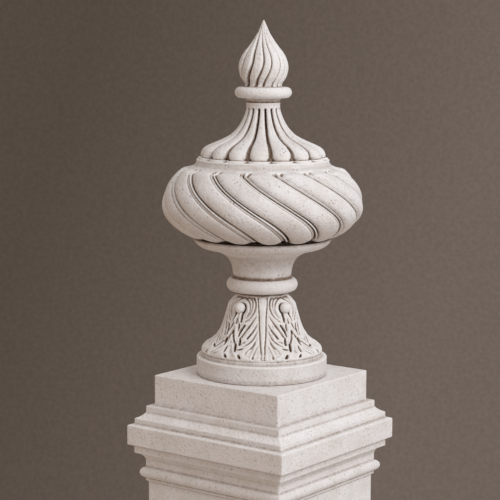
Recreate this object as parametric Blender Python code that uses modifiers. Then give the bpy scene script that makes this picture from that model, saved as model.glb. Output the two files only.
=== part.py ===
"""A carved stone post finial on the square moulded head of its post.

Run with: blender --background --python part.py
Metres, +Z up. The origin is the centre of the underside, where the post is cut off flat.
"""
import math

import bmesh
import bpy
import numpy as np

MM = 0.001
JOINT = 0.3 * MM

# Heights of the three stones
POST_HEIGHT = 162 * MM
CAP_HEIGHT = 158 * MM
FINIAL_HEIGHT = 792 * MM

# Widths of the square mouldings, across the flats
SHAFT_WIDTH = 364 * MM
ASTRAGAL_WIDTH = 393.5 * MM
FASCIA_WIDTH = 373 * MM
BED_WIDTH = 410 * MM
CORONA_WIDTH = 432.4 * MM
UPPER_FILLET_WIDTH = 408.5 * MM
LOWER_FILLET_WIDTH = 372 * MM
BLOCK_WIDTH = 344 * MM
ARRIS = 3 * MM

# Radii of the finial
DISC_RADIUS = 147 * MM
DISC_FILLET_RADIUS = 140.5 * MM
FOOT_RADIUS = 138 * MM
NECK_RADIUS = 58 * MM
RING_RADIUS = 80.5 * MM
STEM_RADIUS = 65 * MM
SAUCER_RADIUS = 154.5 * MM
SAUCER_LIP_RADIUS = 118 * MM
BODY_RADIUS = 225 * MM
BAND_RADIUS = 148 * MM
LIP_RADIUS = 144 * MM
PETAL_RADIUS = 139 * MM
COLLAR_NECK_RADIUS = 37.4 * MM
COLLAR_RADIUS = 63.7 * MM
COLLAR_FLAT_RADIUS = 52 * MM
FLAME_FOOT_RADIUS = 41 * MM

# Heights on the finial, from its underside
DISC_TOP = 41 * MM
FILLET_TOP = 50 * MM
FOOT_TOP = 183 * MM
RING_BOTTOM = 189 * MM
RING_TOP = 219 * MM
SAUCER_BOTTOM = 286 * MM
SAUCER_RIM = 306 * MM
SAUCER_TOP = 308.5 * MM
BODY_BOTTOM = 311 * MM
BODY_WIDEST = 383 * MM
BODY_TOP = 469 * MM
BAND_TOP = 485 * MM
LIP_TOP = 488.5 * MM
PETAL_TOP = 596 * MM
COLLAR_NECK_TOP = 612 * MM
COLLAR_BOTTOM = 619 * MM
COLLAR_TOP = 644.7 * MM

# Carving: how many of each, and how deep it is cut
LEAF_COUNT = 4
LOBE_COUNT = 15
PETAL_COUNT = 16
TONGUE_COUNT = 16
LEAF_DEPTH = 8.5 * MM
LOBE_DEPTH = 12 * MM
PETAL_DEPTH = 6 * MM
TONGUE_DEPTH = 5 * MM
BERRY_RADIUS = 12 * MM
BERRY_HEIGHT = 158 * MM
BERRY_REACH = 72 * MM

# Directions in plan, from +X: a leaf's rib, a bead of the swirl, a petal's middle, a groove of the flame
RIB_TURN = math.radians(-52.1)
BEAD_TURN = math.radians(-63.8)
PETAL_TURN = math.radians(-56.8)
TONGUE_TURN = math.radians(-58)

# The flame's tongues wind one way up to this share of their height, then back
TONGUE_BEND = 0.58
TONGUE_WIND = math.radians(38)
TONGUE_UNWIND = math.radians(13)

# How far a leaflet falls for each degree it runs out from the rib, in mm
LEAFLET_DROP = 1.1

# Steps round a full turn of the plain parts
ROUND_STEPS = 32
SLIM_STEPS = 24

STONE_COLOR = (0.71, 0.66, 0.61, 1.0)
STONE_ROUGHNESS = 0.85

# Down the side of a leaf's rib: the height in mm where the crest of a leaflet or the groove below it
# starts, and how far that line stands up from the ground of the carving
LEAF_LINES = {180: 0.6, 173: 0.9, 164: 0.75, 153: 1.0, 141: 0.35, 128: 1.0, 117: 0.3, 105: 1.0, 94: 0.3,
              83: 1.0, 72: 0.45, 60: 1.0}

# Out from the rib to the middle of the husk: degrees from the rib, and how far leaf and husk stand up
LEAF_COLUMNS = ((0, 1.0, 0), (4.5, 0.25, 0), (9.5, 0.9, 0), (14, 1.0, 0), (18.5, 1.0, 0), (23, 1.0, 0),
                (27.5, 0.9, 0), (31.5, 0.6, 0), (36, 0, 0), (40.5, 0, 0.65), (45, 0, 1.0))

# Across one lobe, petal or tongue: share of the pitch, and share of the groove's depth there
LOBE_SECTION = ((0.0, 0.45), (0.075, 1.0), (0.2, 0.3), (0.45, 0.0), (0.72, 0.15), (0.91, 0.75))
PETAL_SECTION = ((-0.5, 1.0), (-0.35, 0.3), (-0.13, 0.0), (0.13, 0.0), (0.35, 0.3))
TONGUE_SECTION = ((0.0, 1.0), (0.3, 0.1), (0.72, 0.15))


def start_scene():
    """Clear the file and make one collection for the object and one for the zones joined into it."""
    for old in list(bpy.data.objects):
        bpy.data.objects.remove(old, do_unlink=True)
    made = []
    for name in ("post_finial", "carved_zones"):
        group = bpy.data.collections.new(name)
        bpy.context.scene.collection.children.link(group)
        made.append(group)
    return made


def stone(name):
    """A pale limestone material."""
    material = bpy.data.materials.new(name)
    material.use_nodes = True
    shader = material.node_tree.nodes["Principled BSDF"]
    shader.inputs["Base Color"].default_value = STONE_COLOR
    shader.inputs["Roughness"].default_value = STONE_ROUGHNESS
    shader.inputs["Metallic"].default_value = 0.0
    return material


def bow(start, end, sagitta, steps):
    """Points on an arc after start up to end. Down an outer side, a positive sagitta bulges out."""
    start = np.array(start, float)
    end = np.array(end, float)
    half = np.linalg.norm(end - start) / 2
    along = (end - start) / (2 * half)
    side = np.array((-along[1], along[0]))
    radius = (half * half + sagitta * sagitta) / (2 * abs(sagitta))
    centre = (start + end) / 2 + side * (sagitta - math.copysign(radius, sagitta))
    first = math.atan2(start[1] - centre[1], start[0] - centre[0])
    sweep = -4 * math.atan(sagitta / half)
    angles = first + sweep * np.arange(1, steps + 1) / steps
    return [(centre[0] + radius * math.cos(turn), centre[1] + radius * math.sin(turn)) for turn in angles]


def at(turn, radius, height):
    """A place given by its direction in plan, its distance from the axis and its height."""
    return radius * math.cos(turn), radius * math.sin(turn), height


def turned(name, outline, steps, group, lift=0.0, phase=0.0):
    """A solid turned from an outline of (radius, height) pairs that runs down its outer side."""
    mesh = bpy.data.meshes.new(name)
    points = [(radius, 0.0, height) for radius, height in outline]
    edges = [(index, index + 1) for index in range(len(points) - 1)]
    mesh.from_pydata(points, edges, [])
    piece = bpy.data.objects.new(name, mesh)
    group.objects.link(piece)
    piece.location.z = lift
    piece.rotation_euler.z = phase
    screw = piece.modifiers.new("turn", "SCREW")
    screw.steps = steps
    screw.render_steps = steps
    screw.use_merge_vertices = True
    screw.merge_threshold = 0.00001
    return piece


def carved(name, outline, steps, group, move):
    """A turned solid whose vertices are then moved, each by its column round the axis."""
    piece = turned(name, outline, steps, group)
    bpy.context.view_layer.update()
    evaluated = piece.evaluated_get(bpy.context.evaluated_depsgraph_get())
    mesh = bpy.data.meshes.new_from_object(evaluated)
    piece.modifiers.clear()
    piece.data = mesh
    shape = bmesh.new()
    shape.from_mesh(mesh)
    for vertex in shape.verts:
        x, y, height = vertex.co
        radius = math.hypot(x, y)
        if radius > JOINT:
            column = round(math.atan2(y, x) / math.tau * steps) % steps
            vertex.co = move(column, radius, height)
    bmesh.ops.triangulate(shape, faces=shape.faces)
    shape.to_mesh(mesh)
    shape.free()
    return piece


def square(name, outline, lift, group):
    """A square moulded stone: its outline of (half width, height) pairs, mitred at the corners."""
    corner = math.sqrt(2)
    stretched = [(half * corner, height) for half, height in outline]
    return turned(name, stretched, 4, group, lift, math.radians(45))


def post_head(group):
    """The top of the post: shaft, fillet, astragal, fascia, cavetto and bed fillet."""
    shaft = SHAFT_WIDTH / 2
    fascia = FASCIA_WIDTH / 2
    bed = BED_WIDTH / 2
    shaft_top = 76 * MM
    fillet_bottom = 78 * MM
    astragal_bottom = 85 * MM
    astragal_top = 110 * MM
    hollow_bottom = 127 * MM
    bed_bottom = 142.7 * MM
    top = POST_HEIGHT - JOINT
    swell = (ASTRAGAL_WIDTH - FASCIA_WIDTH) / 2
    outline = [(0, top), (bed, top), (bed, bed_bottom)]
    outline += bow((bed, bed_bottom), (fascia, hollow_bottom), -4 * MM, 4)
    outline += [(fascia, astragal_top)]
    outline += bow((fascia, astragal_top), (fascia, astragal_bottom), swell, 8)
    outline += [(fascia, fillet_bottom), (shaft, shaft_top), (shaft, 0), (0, 0)]
    return square("post_head", outline, 0, group)


def cap_stone(group):
    """The cap: corona slab, two fillets with a hollow slope, and the block the finial stands on."""
    corona = CORONA_WIDTH / 2
    upper = UPPER_FILLET_WIDTH / 2
    lower = LOWER_FILLET_WIDTH / 2
    block = BLOCK_WIDTH / 2
    corona_top = 44.5 * MM
    upper_bottom = 48.7 * MM
    slope_bottom = 60.4 * MM
    slope_top = 73.7 * MM
    lower_top = 88.5 * MM
    block_bottom = 89.5 * MM
    outline = [(0, CAP_HEIGHT), (block - ARRIS, CAP_HEIGHT), (block, CAP_HEIGHT - ARRIS)]
    outline += [(block, block_bottom), (lower, lower_top), (lower, slope_top)]
    outline += bow((lower, slope_top), (upper, slope_bottom), -2 * MM, 3)
    outline += [(upper, upper_bottom), (corona - ARRIS, corona_top + ARRIS), (corona, corona_top)]
    outline += [(corona, ARRIS), (corona - ARRIS, 0), (0, 0)]
    return square("cap_stone", outline, POST_HEIGHT, group)


def disc_outline():
    """The plain round base, with a small fillet below the leaves."""
    edge = 3.5 * MM
    foot_edge = 2 * MM
    upper_edge = (DISC_RADIUS - edge, DISC_TOP)
    outline = [(0, FILLET_TOP), (DISC_FILLET_RADIUS, FILLET_TOP), (DISC_FILLET_RADIUS, DISC_TOP)]
    outline += [upper_edge] + bow(upper_edge, (DISC_RADIUS, DISC_TOP - edge), 1 * MM, 2)
    return outline + [(DISC_RADIUS, foot_edge), (DISC_RADIUS - foot_edge, JOINT), (0, JOINT)]


def bell_radius(height):
    """The bell of the foot over the tops of its leaves, whose tips turn out at the bottom."""
    levels = (52, 58, 65, 69, 74, 80, 88, 98, 110, 126, 146, 162, 173, 179, 184)
    radii = (138, 137.5, 134.5, 128, 119, 112, 103.5, 97, 91, 85.5, 80, 76, 69.5, 62, 58)
    return np.interp(height / MM, levels, radii) * MM


def foot(group):
    """The bell-shaped foot, with four ribbed leaves and a husk below a berry between each pair."""
    half_count = len(LEAF_COLUMNS) - 1
    half_leaf = LEAF_COLUMNS[-1][0]
    quarter = math.tau / LEAF_COUNT
    highest, lowest = max(LEAF_LINES), min(LEAF_LINES)
    shoulder = 172
    husk_top = 146
    hidden = 46 * MM

    def move(column, radius, height):
        leaf, place = divmod(column, 2 * half_count)
        side = 1 if place <= half_count else -1
        index = place if side == 1 else 2 * half_count - place
        degrees, leaf_rise, husk_rise = LEAF_COLUMNS[index]
        turn = RIB_TURN + quarter * (leaf + (side == -1)) + side * math.radians(degrees)
        level = round(height / MM)
        if level not in LEAF_LINES:
            return at(turn, radius, height)
        sweep = min(1.0, (level - lowest) / 48, (highest - level) / 30)
        fold = min(degrees, 1.8 * (half_leaf - degrees))
        lower = level - LEAFLET_DROP * fold * sweep
        rise = leaf_rise
        if index > 0 and leaf_rise > 0:
            rise = leaf_rise * LEAF_LINES[level]
            if index == half_count - 3:
                rise = max(0.0, 1.6 * rise - 0.75)
        if husk_rise > 0 and lower < husk_top:
            rise = husk_rise
        if level > shoulder:
            rise = max(rise, 0.8)
        return at(turn, bell_radius(lower * MM) - LEAF_DEPTH * (1 - rise), lower * MM)

    outline = [(0, FOOT_TOP), (NECK_RADIUS, FOOT_TOP)]
    outline += [(bell_radius(level * MM), level * MM) for level in LEAF_LINES]
    outline += [(FOOT_RADIUS, FILLET_TOP + 3 * MM), (FOOT_RADIUS, hidden), (0, hidden)]
    return carved("foot_zone", outline, LEAF_COUNT * 2 * half_count, group, move)


def berry(index, group):
    """One of the four round berries, set between two leaves."""
    mesh = bpy.data.meshes.new("berry")
    shape = bmesh.new()
    bmesh.ops.create_uvsphere(shape, u_segments=8, v_segments=6, radius=BERRY_RADIUS)
    shape.to_mesh(mesh)
    shape.free()
    piece = bpy.data.objects.new("berry_zone_%d" % index, mesh)
    group.objects.link(piece)
    turn = RIB_TURN + math.tau * (index + 0.5) / LEAF_COUNT
    piece.location = at(turn, BERRY_REACH, BERRY_HEIGHT)
    return piece


def stem_outline():
    """From the saucer under the body down through the ring to the neck of the foot."""
    core = 128 * MM
    core_top = 330 * MM
    neck_hidden = 174 * MM
    hollow_top = (112 * MM, 284 * MM)
    hollow_bottom = (69.4 * MM, 250 * MM)
    ring_top = (68 * MM, RING_TOP)
    ring_bottom = (63 * MM, RING_BOTTOM)
    ring_swell = RING_RADIUS - (ring_top[0] + ring_bottom[0]) / 2
    rim = (SAUCER_RADIUS, SAUCER_RIM)
    outline = [(0, core_top), (core, core_top), (core, SAUCER_TOP - 2 * MM)]
    outline += [(SAUCER_RADIUS - 2 * MM, SAUCER_TOP), rim]
    outline += bow(rim, (SAUCER_LIP_RADIUS, SAUCER_BOTTOM), 7 * MM, 3)
    outline += [hollow_top] + bow(hollow_top, hollow_bottom, -8 * MM, 3)
    outline += [(STEM_RADIUS, RING_TOP + 3 * MM), ring_top]
    outline += bow(ring_top, ring_bottom, ring_swell, 5)
    return outline + [(NECK_RADIUS, RING_BOTTOM), (NECK_RADIUS, neck_hidden), (0, neck_hidden)]


def body_radius(height):
    """The body's outline over the tops of its lobes: half of one ellipse on half of another."""
    rise = height - BODY_WIDEST
    reach = 136 * MM if rise > 0 else 102 * MM
    return BODY_RADIUS * math.sqrt(1 - (rise / reach) ** 2)


def body_outline():
    """The envelope of the body, with the lobe ends rounded at the band and the saucer."""
    levels = (453, 432, 408, 383, 358, 335)
    outline = [(0, BODY_TOP), (150 * MM, BODY_TOP), (166 * MM, 466.5 * MM)]
    outline += [(body_radius(level * MM), level * MM) for level in levels]
    return outline + [(171 * MM, 317 * MM), (152 * MM, BODY_BOTTOM), (0, BODY_BOTTOM)]


def swirl_turn(height):
    """How far a bead has turned from its place at a height of 400 mm, in radians."""
    drop = 400 - height / MM
    return math.radians(0.3774 * drop - 0.00041 * drop ** 2)


def body(group):
    """The bulb, carved with lobes that wind round it and a thin bead in the groove between two."""
    pitch = math.tau / LOBE_COUNT

    def move(column, radius, height):
        lobe, place = divmod(column, len(LOBE_SECTION))
        share, depth = LOBE_SECTION[place]
        turn = BEAD_TURN + pitch * (lobe + share) + swirl_turn(height)
        from_end = min(BODY_TOP - height, height - BODY_BOTTOM, LOBE_DEPTH) / LOBE_DEPTH
        return at(turn, radius - LOBE_DEPTH * depth * (0.35 + 0.65 * from_end), height)

    return carved("body_zone", body_outline(), LOBE_COUNT * len(LOBE_SECTION), group, move)


def band_outline():
    """The plain band over the body, with the low lip that the petals stand on."""
    outline = [(0, LIP_TOP), (LIP_RADIUS, LIP_TOP), (LIP_RADIUS, BAND_TOP), (BAND_RADIUS, BAND_TOP)]
    hidden = 455 * MM
    return outline + [(BAND_RADIUS, BODY_TOP - 3 * MM), (LIP_RADIUS, hidden), (0, hidden)]


def petals(group):
    """The sweeping cone of petals, with round club ends and narrow slots between them."""
    pitch = math.tau / PETAL_COUNT
    bell = ((43, 579), (53.7, 559), (72.3, 539), (97, 525.5), (127, 514.5), (136.5, 505), (139, 497))
    club_start = 110 * MM
    hidden = 480 * MM

    def move(column, radius, height):
        petal, place = divmod(column, len(PETAL_SECTION))
        share, depth = PETAL_SECTION[place]
        turn = PETAL_TURN + pitch * (petal + share)
        rounding = min(1.0, max(0.0, radius - club_start) / (PETAL_RADIUS - club_start))
        return at(turn, radius - PETAL_DEPTH * depth * (1 + 1.2 * rounding), height)

    outline = [(0, PETAL_TOP), (COLLAR_NECK_RADIUS, PETAL_TOP)]
    outline += [(radius * MM, height * MM) for radius, height in bell]
    outline += [(PETAL_RADIUS - 2 * MM, hidden), (0, hidden)]
    return carved("petal_zone", outline, PETAL_COUNT * len(PETAL_SECTION), group, move)


def collar_outline():
    """The collar ring under the flame, and the plain neck band that closes the petals."""
    throat = COLLAR_NECK_RADIUS + 4 * MM
    hidden = PETAL_TOP - 2 * MM
    swell = COLLAR_RADIUS - COLLAR_FLAT_RADIUS
    ring_top = (COLLAR_FLAT_RADIUS, COLLAR_TOP)
    outline = [(0, COLLAR_TOP), ring_top]
    outline += bow(ring_top, (COLLAR_FLAT_RADIUS, COLLAR_BOTTOM), swell, 5)
    outline += [(throat + 3 * MM, COLLAR_BOTTOM), (throat, COLLAR_NECK_TOP + 1 * MM)]
    outline += [(COLLAR_NECK_RADIUS, COLLAR_NECK_TOP), (COLLAR_NECK_RADIUS, hidden)]
    return outline + [(0, hidden)]


def flame_turn(height):
    """How far a tongue has turned at a height: one way as it swells, then part of the way back."""
    share = max(0.0, (height - COLLAR_TOP) / (FINIAL_HEIGHT - COLLAR_TOP))
    if share < TONGUE_BEND:
        return TONGUE_WIND * math.sin(math.pi / 2 * share / TONGUE_BEND)
    back = (share - TONGUE_BEND) / (1 - TONGUE_BEND)
    return TONGUE_WIND - TONGUE_UNWIND * (1 - math.cos(math.pi * back)) / 2


def flame(group):
    """The flame at the top: tongues that wind up to one point."""
    pitch = math.tau / TONGUE_COUNT
    sides = ((10.4, 771), (21.3, 751), (35.4, 731), (47, 716), (54, 700), (55.4, 685), (52.7, 672), (46, 659))
    full_depth_below = FINIAL_HEIGHT - 110 * MM
    slender = 30 * MM
    hidden = COLLAR_TOP - 2 * MM

    def move(column, radius, height):
        tongue, place = divmod(column, len(TONGUE_SECTION))
        share, depth = TONGUE_SECTION[place]
        turn = TONGUE_TURN + pitch * (tongue + share) + flame_turn(height)
        fade = min(1.0, (FINIAL_HEIGHT - height) / (FINIAL_HEIGHT - full_depth_below))
        sunk = TONGUE_DEPTH * depth * fade * min(1.0, radius / slender)
        return at(turn, radius - sunk, height)

    outline = [(0, FINIAL_HEIGHT)] + [(radius * MM, height * MM) for radius, height in sides]
    outline += [(FLAME_FOOT_RADIUS, COLLAR_TOP + 7 * MM), (FLAME_FOOT_RADIUS, hidden), (0, hidden)]
    return carved("flame_zone", outline, TONGUE_COUNT * len(TONGUE_SECTION), group, move)


def finial(group, zones):
    """The finial, one carved stone: its zones are modelled apart and joined into one solid."""
    stone_piece = turned("finial", disc_outline(), ROUND_STEPS, group)
    foot(zones)
    for index in range(LEAF_COUNT):
        berry(index, zones)
    turned("stem_zone", stem_outline(), ROUND_STEPS, zones)
    body(zones)
    turned("band_zone", band_outline(), ROUND_STEPS, zones)
    petals(zones)
    turned("collar_zone", collar_outline(), SLIM_STEPS, zones)
    flame(zones)
    for zone in zones.objects:
        zone.hide_render = True
        zone.display_type = "WIRE"
        zone.location.z += POST_HEIGHT + CAP_HEIGHT
        union = stone_piece.modifiers.new("with " + zone.name, "BOOLEAN")
        union.operation = "UNION"
        union.solver = "EXACT"
        union.object = zone
    stone_piece.location.z = POST_HEIGHT + CAP_HEIGHT
    return stone_piece


def finish(piece, material, sharp_degrees):
    """Give a stone its material and smooth its round faces."""
    piece.data.materials.append(material)
    piece.data.shade_smooth()
    piece.data.set_sharp_from_angle(angle=math.radians(sharp_degrees))


def main():
    group, zones = start_scene()
    post_stone = stone("post_stone")
    finish(post_head(group), post_stone, 30)
    finish(cap_stone(group), post_stone, 30)
    finish(finial(group, zones), stone("finial_stone"), 40)


main()
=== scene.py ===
import math

import bmesh
import bpy
import numpy as np
from mathutils import Matrix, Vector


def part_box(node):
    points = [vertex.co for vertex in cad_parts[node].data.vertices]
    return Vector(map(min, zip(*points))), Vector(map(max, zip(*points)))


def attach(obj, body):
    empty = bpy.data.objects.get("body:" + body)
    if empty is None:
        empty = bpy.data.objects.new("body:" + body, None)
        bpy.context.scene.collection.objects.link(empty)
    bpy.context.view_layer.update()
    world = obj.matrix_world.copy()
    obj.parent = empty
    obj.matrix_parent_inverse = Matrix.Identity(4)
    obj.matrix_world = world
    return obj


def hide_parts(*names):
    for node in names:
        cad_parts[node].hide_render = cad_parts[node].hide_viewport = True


# A carved limestone finial on the square moulded head of its post. Metres, +Z up; shape values are in mm.
mm = 0.001
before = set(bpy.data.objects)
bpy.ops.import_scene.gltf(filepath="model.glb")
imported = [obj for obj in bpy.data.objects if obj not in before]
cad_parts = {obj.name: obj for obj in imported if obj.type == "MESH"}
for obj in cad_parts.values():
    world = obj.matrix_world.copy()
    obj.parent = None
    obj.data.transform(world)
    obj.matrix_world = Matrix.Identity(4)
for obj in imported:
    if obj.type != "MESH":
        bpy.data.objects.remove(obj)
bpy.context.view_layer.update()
print("frame loaded")


def distances(points):  # how far along the line each of its points is
    return np.concatenate(([0], np.cumsum(np.hypot(*np.diff(points, axis=0).T))))


def spacedAlong(points, step):  # the same line as points, with a point about every step mm
    points = np.array(points, float)
    lengths = distances(points)
    places = np.linspace(0, lengths[-1], max(2, int(round(lengths[-1] / step)) + 1))
    return np.stack([np.interp(places, lengths, points[:, axis]) for axis in (0, 1)], axis=1)


def softened(points, rounds):  # evens out the corners of a line and keeps its ends
    points = np.array(points, float)
    for _ in range(rounds):
        points[1:-1] = 0.25 * points[:-2] + 0.5 * points[1:-1] + 0.25 * points[2:]
    return points


def arcTo(start, end, bulge, steps):  # points on an arc after start; bulge is to the right of the way there
    start, end = np.array(start, float), np.array(end, float)
    half = np.linalg.norm(end - start) / 2
    along = (end - start) / (2 * half)
    side = np.array((along[1], -along[0]))
    radius = (half * half + bulge * bulge) / (2 * abs(bulge))
    centre = (start + end) / 2 + side * (bulge - math.copysign(radius, bulge))
    first = math.atan2(start[1] - centre[1], start[0] - centre[0])
    turns = first + 4 * math.atan(bulge / half) * np.arange(1, steps + 1) / steps
    return [(centre[0] + radius * math.cos(turn), centre[1] + radius * math.sin(turn)) for turn in turns]


def spun(outline, columns):
    # an outline of (radius, height) in mm, spun round the axis and still open at its ends
    shape = bmesh.new()
    rowLayer = shape.verts.layers.int.new("row")
    corners = []
    for row, (radius, height) in enumerate(outline):
        corner = shape.verts.new((radius * mm, 0, height * mm))
        corner[rowLayer] = row
        corners.append(corner)
    lines = [shape.edges.new(pair) for pair in zip(corners, corners[1:])]
    bmesh.ops.spin(shape, geom=corners + lines, cent=(0, 0, 0), axis=(0, 0, 1),
                   angle=math.tau, steps=columns, use_merge=True)
    bmesh.ops.remove_doubles(shape, verts=shape.verts, dist=1e-7)
    mesh = bpy.data.meshes.new("zone")
    shape.to_mesh(mesh)
    shape.free()
    return mesh


def readEach(data, name, width=1, kind=np.float32):  # one property of each vertex, edge or attribute value
    values = np.empty(len(data) * width, kind)
    data.foreach_get(name, values)
    return values.reshape(-1, width) if width > 1 else values


def positions(mesh):
    return readEach(mesh.vertices, "co", 3).astype(float)


def setPositions(mesh, places):
    mesh.vertices.foreach_set("co", places.astype(np.float32).ravel())
    mesh.update()


def setAttribute(mesh, name, values):
    mesh.attributes.new(name, "FLOAT", "POINT").data.foreach_set("value", values.astype(np.float32))


def evened(values, column, row, rounds):  # softens a value that each vertex of a spun zone has
    grid = np.zeros((row.max() + 1, column.max() + 1))
    grid[row, column] = values
    for _ in range(rounds):
        grid = 0.25 * np.roll(grid, 1, axis=1) + 0.5 * grid + 0.25 * np.roll(grid, -1, axis=1)
        grid[1:-1] = 0.25 * grid[:-2] + 0.5 * grid[1:-1] + 0.25 * grid[2:]
    return grid[row, column]


def outlineNormals(outline):
    along = np.gradient(np.array(outline, float), axis=0)
    along /= np.maximum(np.linalg.norm(along, axis=1, keepdims=True), 1e-9)
    return np.stack([along[:, 1], -along[:, 0]], axis=1)


def carvedZone(outline, columns, relief=None):
    # heights here are from the finial's bed. relief gets column, row, radius and height of each vertex, and
    # gives turn in radians, cut and inset in mm, and dirt with painted shade, as mm of hollow to be added
    # (below 0: rubbed bright, with painted highlight)
    mesh = spun(outline, columns)
    places = positions(mesh) / mm
    rows = readEach(mesh.attributes["row"].data, "value", kind=np.int32)
    radius = np.hypot(places[:, 0], places[:, 1])
    turn = np.arctan2(places[:, 1], places[:, 0])
    column = np.rint(turn / math.tau * columns).astype(int) % columns
    height = places[:, 2]
    dirtAndShade = np.zeros(len(places))
    if relief:
        turn, cut, inset, dirtAndShade = relief(column, rows, radius, height)
        normals = outlineNormals(outline)[rows]
        radius = radius - cut * normals[:, 0] - inset
        height = height - cut * normals[:, 1]
    places = np.stack([radius * np.cos(turn), radius * np.sin(turn), height + seat], axis=1)
    setPositions(mesh, places * mm)
    setAttribute(mesh, "dirtAndShade", dirtAndShade)
    return mesh


def rims(shape):  # the open edges of the shape, one list for each ring, lowest first
    waiting = set(edge for edge in shape.edges if edge.is_boundary)
    found = []
    while waiting:
        ring, front = [], [waiting.pop()]
        while front:
            edge = front.pop()
            ring.append(edge)
            for corner in edge.verts:
                for other in corner.link_edges:
                    if other in waiting:
                        waiting.discard(other)
                        front.append(other)
        found.append(ring)
    return sorted(found, key=lambda ring: sum(edge.verts[0].co.z for edge in ring) / len(ring))


def joinedZones(name, zones, balls):
    # zones from the lowest up, their facing rims bridged into one closed surface, with balls let into it, each
    # a place and a radius
    whole = bmesh.new()
    for zone in zones:
        before = set(whole.edges)
        whole.from_mesh(zone)
        if before:
            added = bmesh.new()
            added.from_mesh(zone)
            lowRim = len(rims(added)[0])
            added.free()
            openRings = rims(whole)
            lower = [ring for ring in openRings if ring[0] in before]
            upper = [ring for ring in openRings if ring[0] not in before and len(ring) == lowRim]
            bmesh.ops.bridge_loops(whole, edges=lower[-1] + upper[0])
        bpy.data.meshes.remove(zone)
    for place, radius in balls:
        bmesh.ops.create_uvsphere(whole, u_segments=32, v_segments=20, radius=radius * mm,
                                  matrix=Matrix.Translation([value * mm for value in place]))
    bmesh.ops.recalc_face_normals(whole, faces=whole.faces)
    mesh = bpy.data.meshes.new(name)
    whole.to_mesh(mesh)
    whole.free()
    mesh.shade_smooth()
    return mesh


def waves(places, size, seed):  # smooth unevenness from -1 to 1, about size mm from crest to crest
    total = np.zeros(len(places))
    for index in range(5):
        angle = seed * 1.7 + index * 2.4
        way = np.array((math.cos(angle), math.sin(angle), math.sin(angle * 1.9 + seed)))
        cross = np.array((-way[1], way[0], math.cos(angle * 1.3)))
        along, over = places @ way * math.tau / size, places @ cross * math.tau / (1.4 * size)
        total += np.sin(along + index) * np.cos(over)
    return total / 5


# How a copy of a mesh is evened out to find its hollows: rounds in all and for the close measure, and the
# share of the way to a neighbour in one round: at most, on edges of 1 mm, and to all neighbours together
evening = {"rounds": 24, "closeRounds": 4, "most": 0.2, "coarse": 0.45, "all": 0.9}


def measureHollows(mesh, share, dirtAndShade):
    # two attributes in mm: how far each vertex lies below its wider surroundings, and how far above its close
    # ones, with the dirt and painted shade added to the first and taken from the second
    places = positions(mesh) / mm
    normals = readEach(mesh.vertices, "normal", 3)
    ends = readEach(mesh.edges, "vertices", 2, np.int32)
    first, second = ends.T
    lengths = np.linalg.norm(places[first] - places[second], axis=1)
    meeting = np.bincount(ends.ravel(), minlength=len(places))
    pull = np.minimum(evening["most"], evening["coarse"] / np.maximum(lengths, 0.1) ** 2)
    pull = np.minimum(pull, evening["all"] / np.maximum(meeting[first], meeting[second]))
    smooth = places.copy()
    for done in range(1, evening["rounds"] + 1):
        step = (smooth[second] - smooth[first]) * pull[:, None]
        smooth += np.stack([np.bincount(first, step[:, axis], len(places))
                            - np.bincount(second, step[:, axis], len(places)) for axis in range(3)], axis=1)
        if done == evening["closeRounds"]:
            arris = ((places - smooth) * normals).sum(axis=1)
    # the material colours the first as grime with painted shade in the hollows, the second as wear with painted
    # highlight on the arrises
    hollow = share * np.maximum(((smooth - places) * normals).sum(axis=1), -0.3) + dirtAndShade
    setAttribute(mesh, "hollow", hollow)
    setAttribute(mesh, "arris", share * arris - 0.4 * dirtAndShade)


def newObject(name, data):
    thing = bpy.data.objects.new(name, data)
    bpy.context.scene.collection.objects.link(thing)
    return thing


def placeStone(name, mesh, node, material):
    piece = newObject(name, mesh)
    mesh.materials.append(material)
    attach(piece, "root")
    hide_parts(node)
    return piece


def fromHex(text):  # sRGB hex to linear colour
    values = [int(text[index:index + 2], 16) / 255 for index in (1, 3, 5)]
    return tuple(v / 12.92 if v <= 0.04045 else ((v + 0.055) / 1.055) ** 2.4 for v in values) + (1.0,)


def addNode(tree, kind, settings=None, links=None):
    node = tree.nodes.new(kind)
    for name, value in (settings or {}).items():
        if isinstance(name, str) and hasattr(node, name):
            setattr(node, name, value)
        else:
            node.inputs[name].default_value = value
    for name, socket in (links or {}).items():
        tree.links.new(socket, node.inputs[name])
    return node


# Sizes and depths in mm. A range is the hollow, or the height of an arris, over which its colour comes in.
limestone = {
    "pale": "#e9e5e3",  # fresh carved face
    "warm": "#dcd5cf",  # weathered patches
    "crest": "#f1eeeb",  # rubbed arrises, with painted highlight on them
    "crestRange": (0.04, 0.35),
    "grimeAndShade": "#846850",  # what settles in hollows, with painted shade there
    "grimeAndShadeRange": (0.1, 1.3),
    # darkest grime and painted shade, in the deep cuts
    "deepGrimeAndShade": "#45301f",
    "deepRange": (1.4, 3.6),
    "pit": "#7d6655",
    "patchSize": 70,
    "grainSize": 4.5,  # coarser than the real grit of about 0.5, so that it shows
    "grainDepth": 1.3,
    "speckSize": 5.5,
    "speckDepth": 1.8,
    "speckShare": 0.3,
    "pitSpacing": 8,
    "pitShare": 0.24,  # widest pit, as a share of the spacing
    "pitDepth": 1,
    "pittedSize": 30,  # of the places with more and wider pits
    "blotSize": 9,  # of the stronger and weaker places in the grime and painted shade
    "roughness": 0.86,
}


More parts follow.
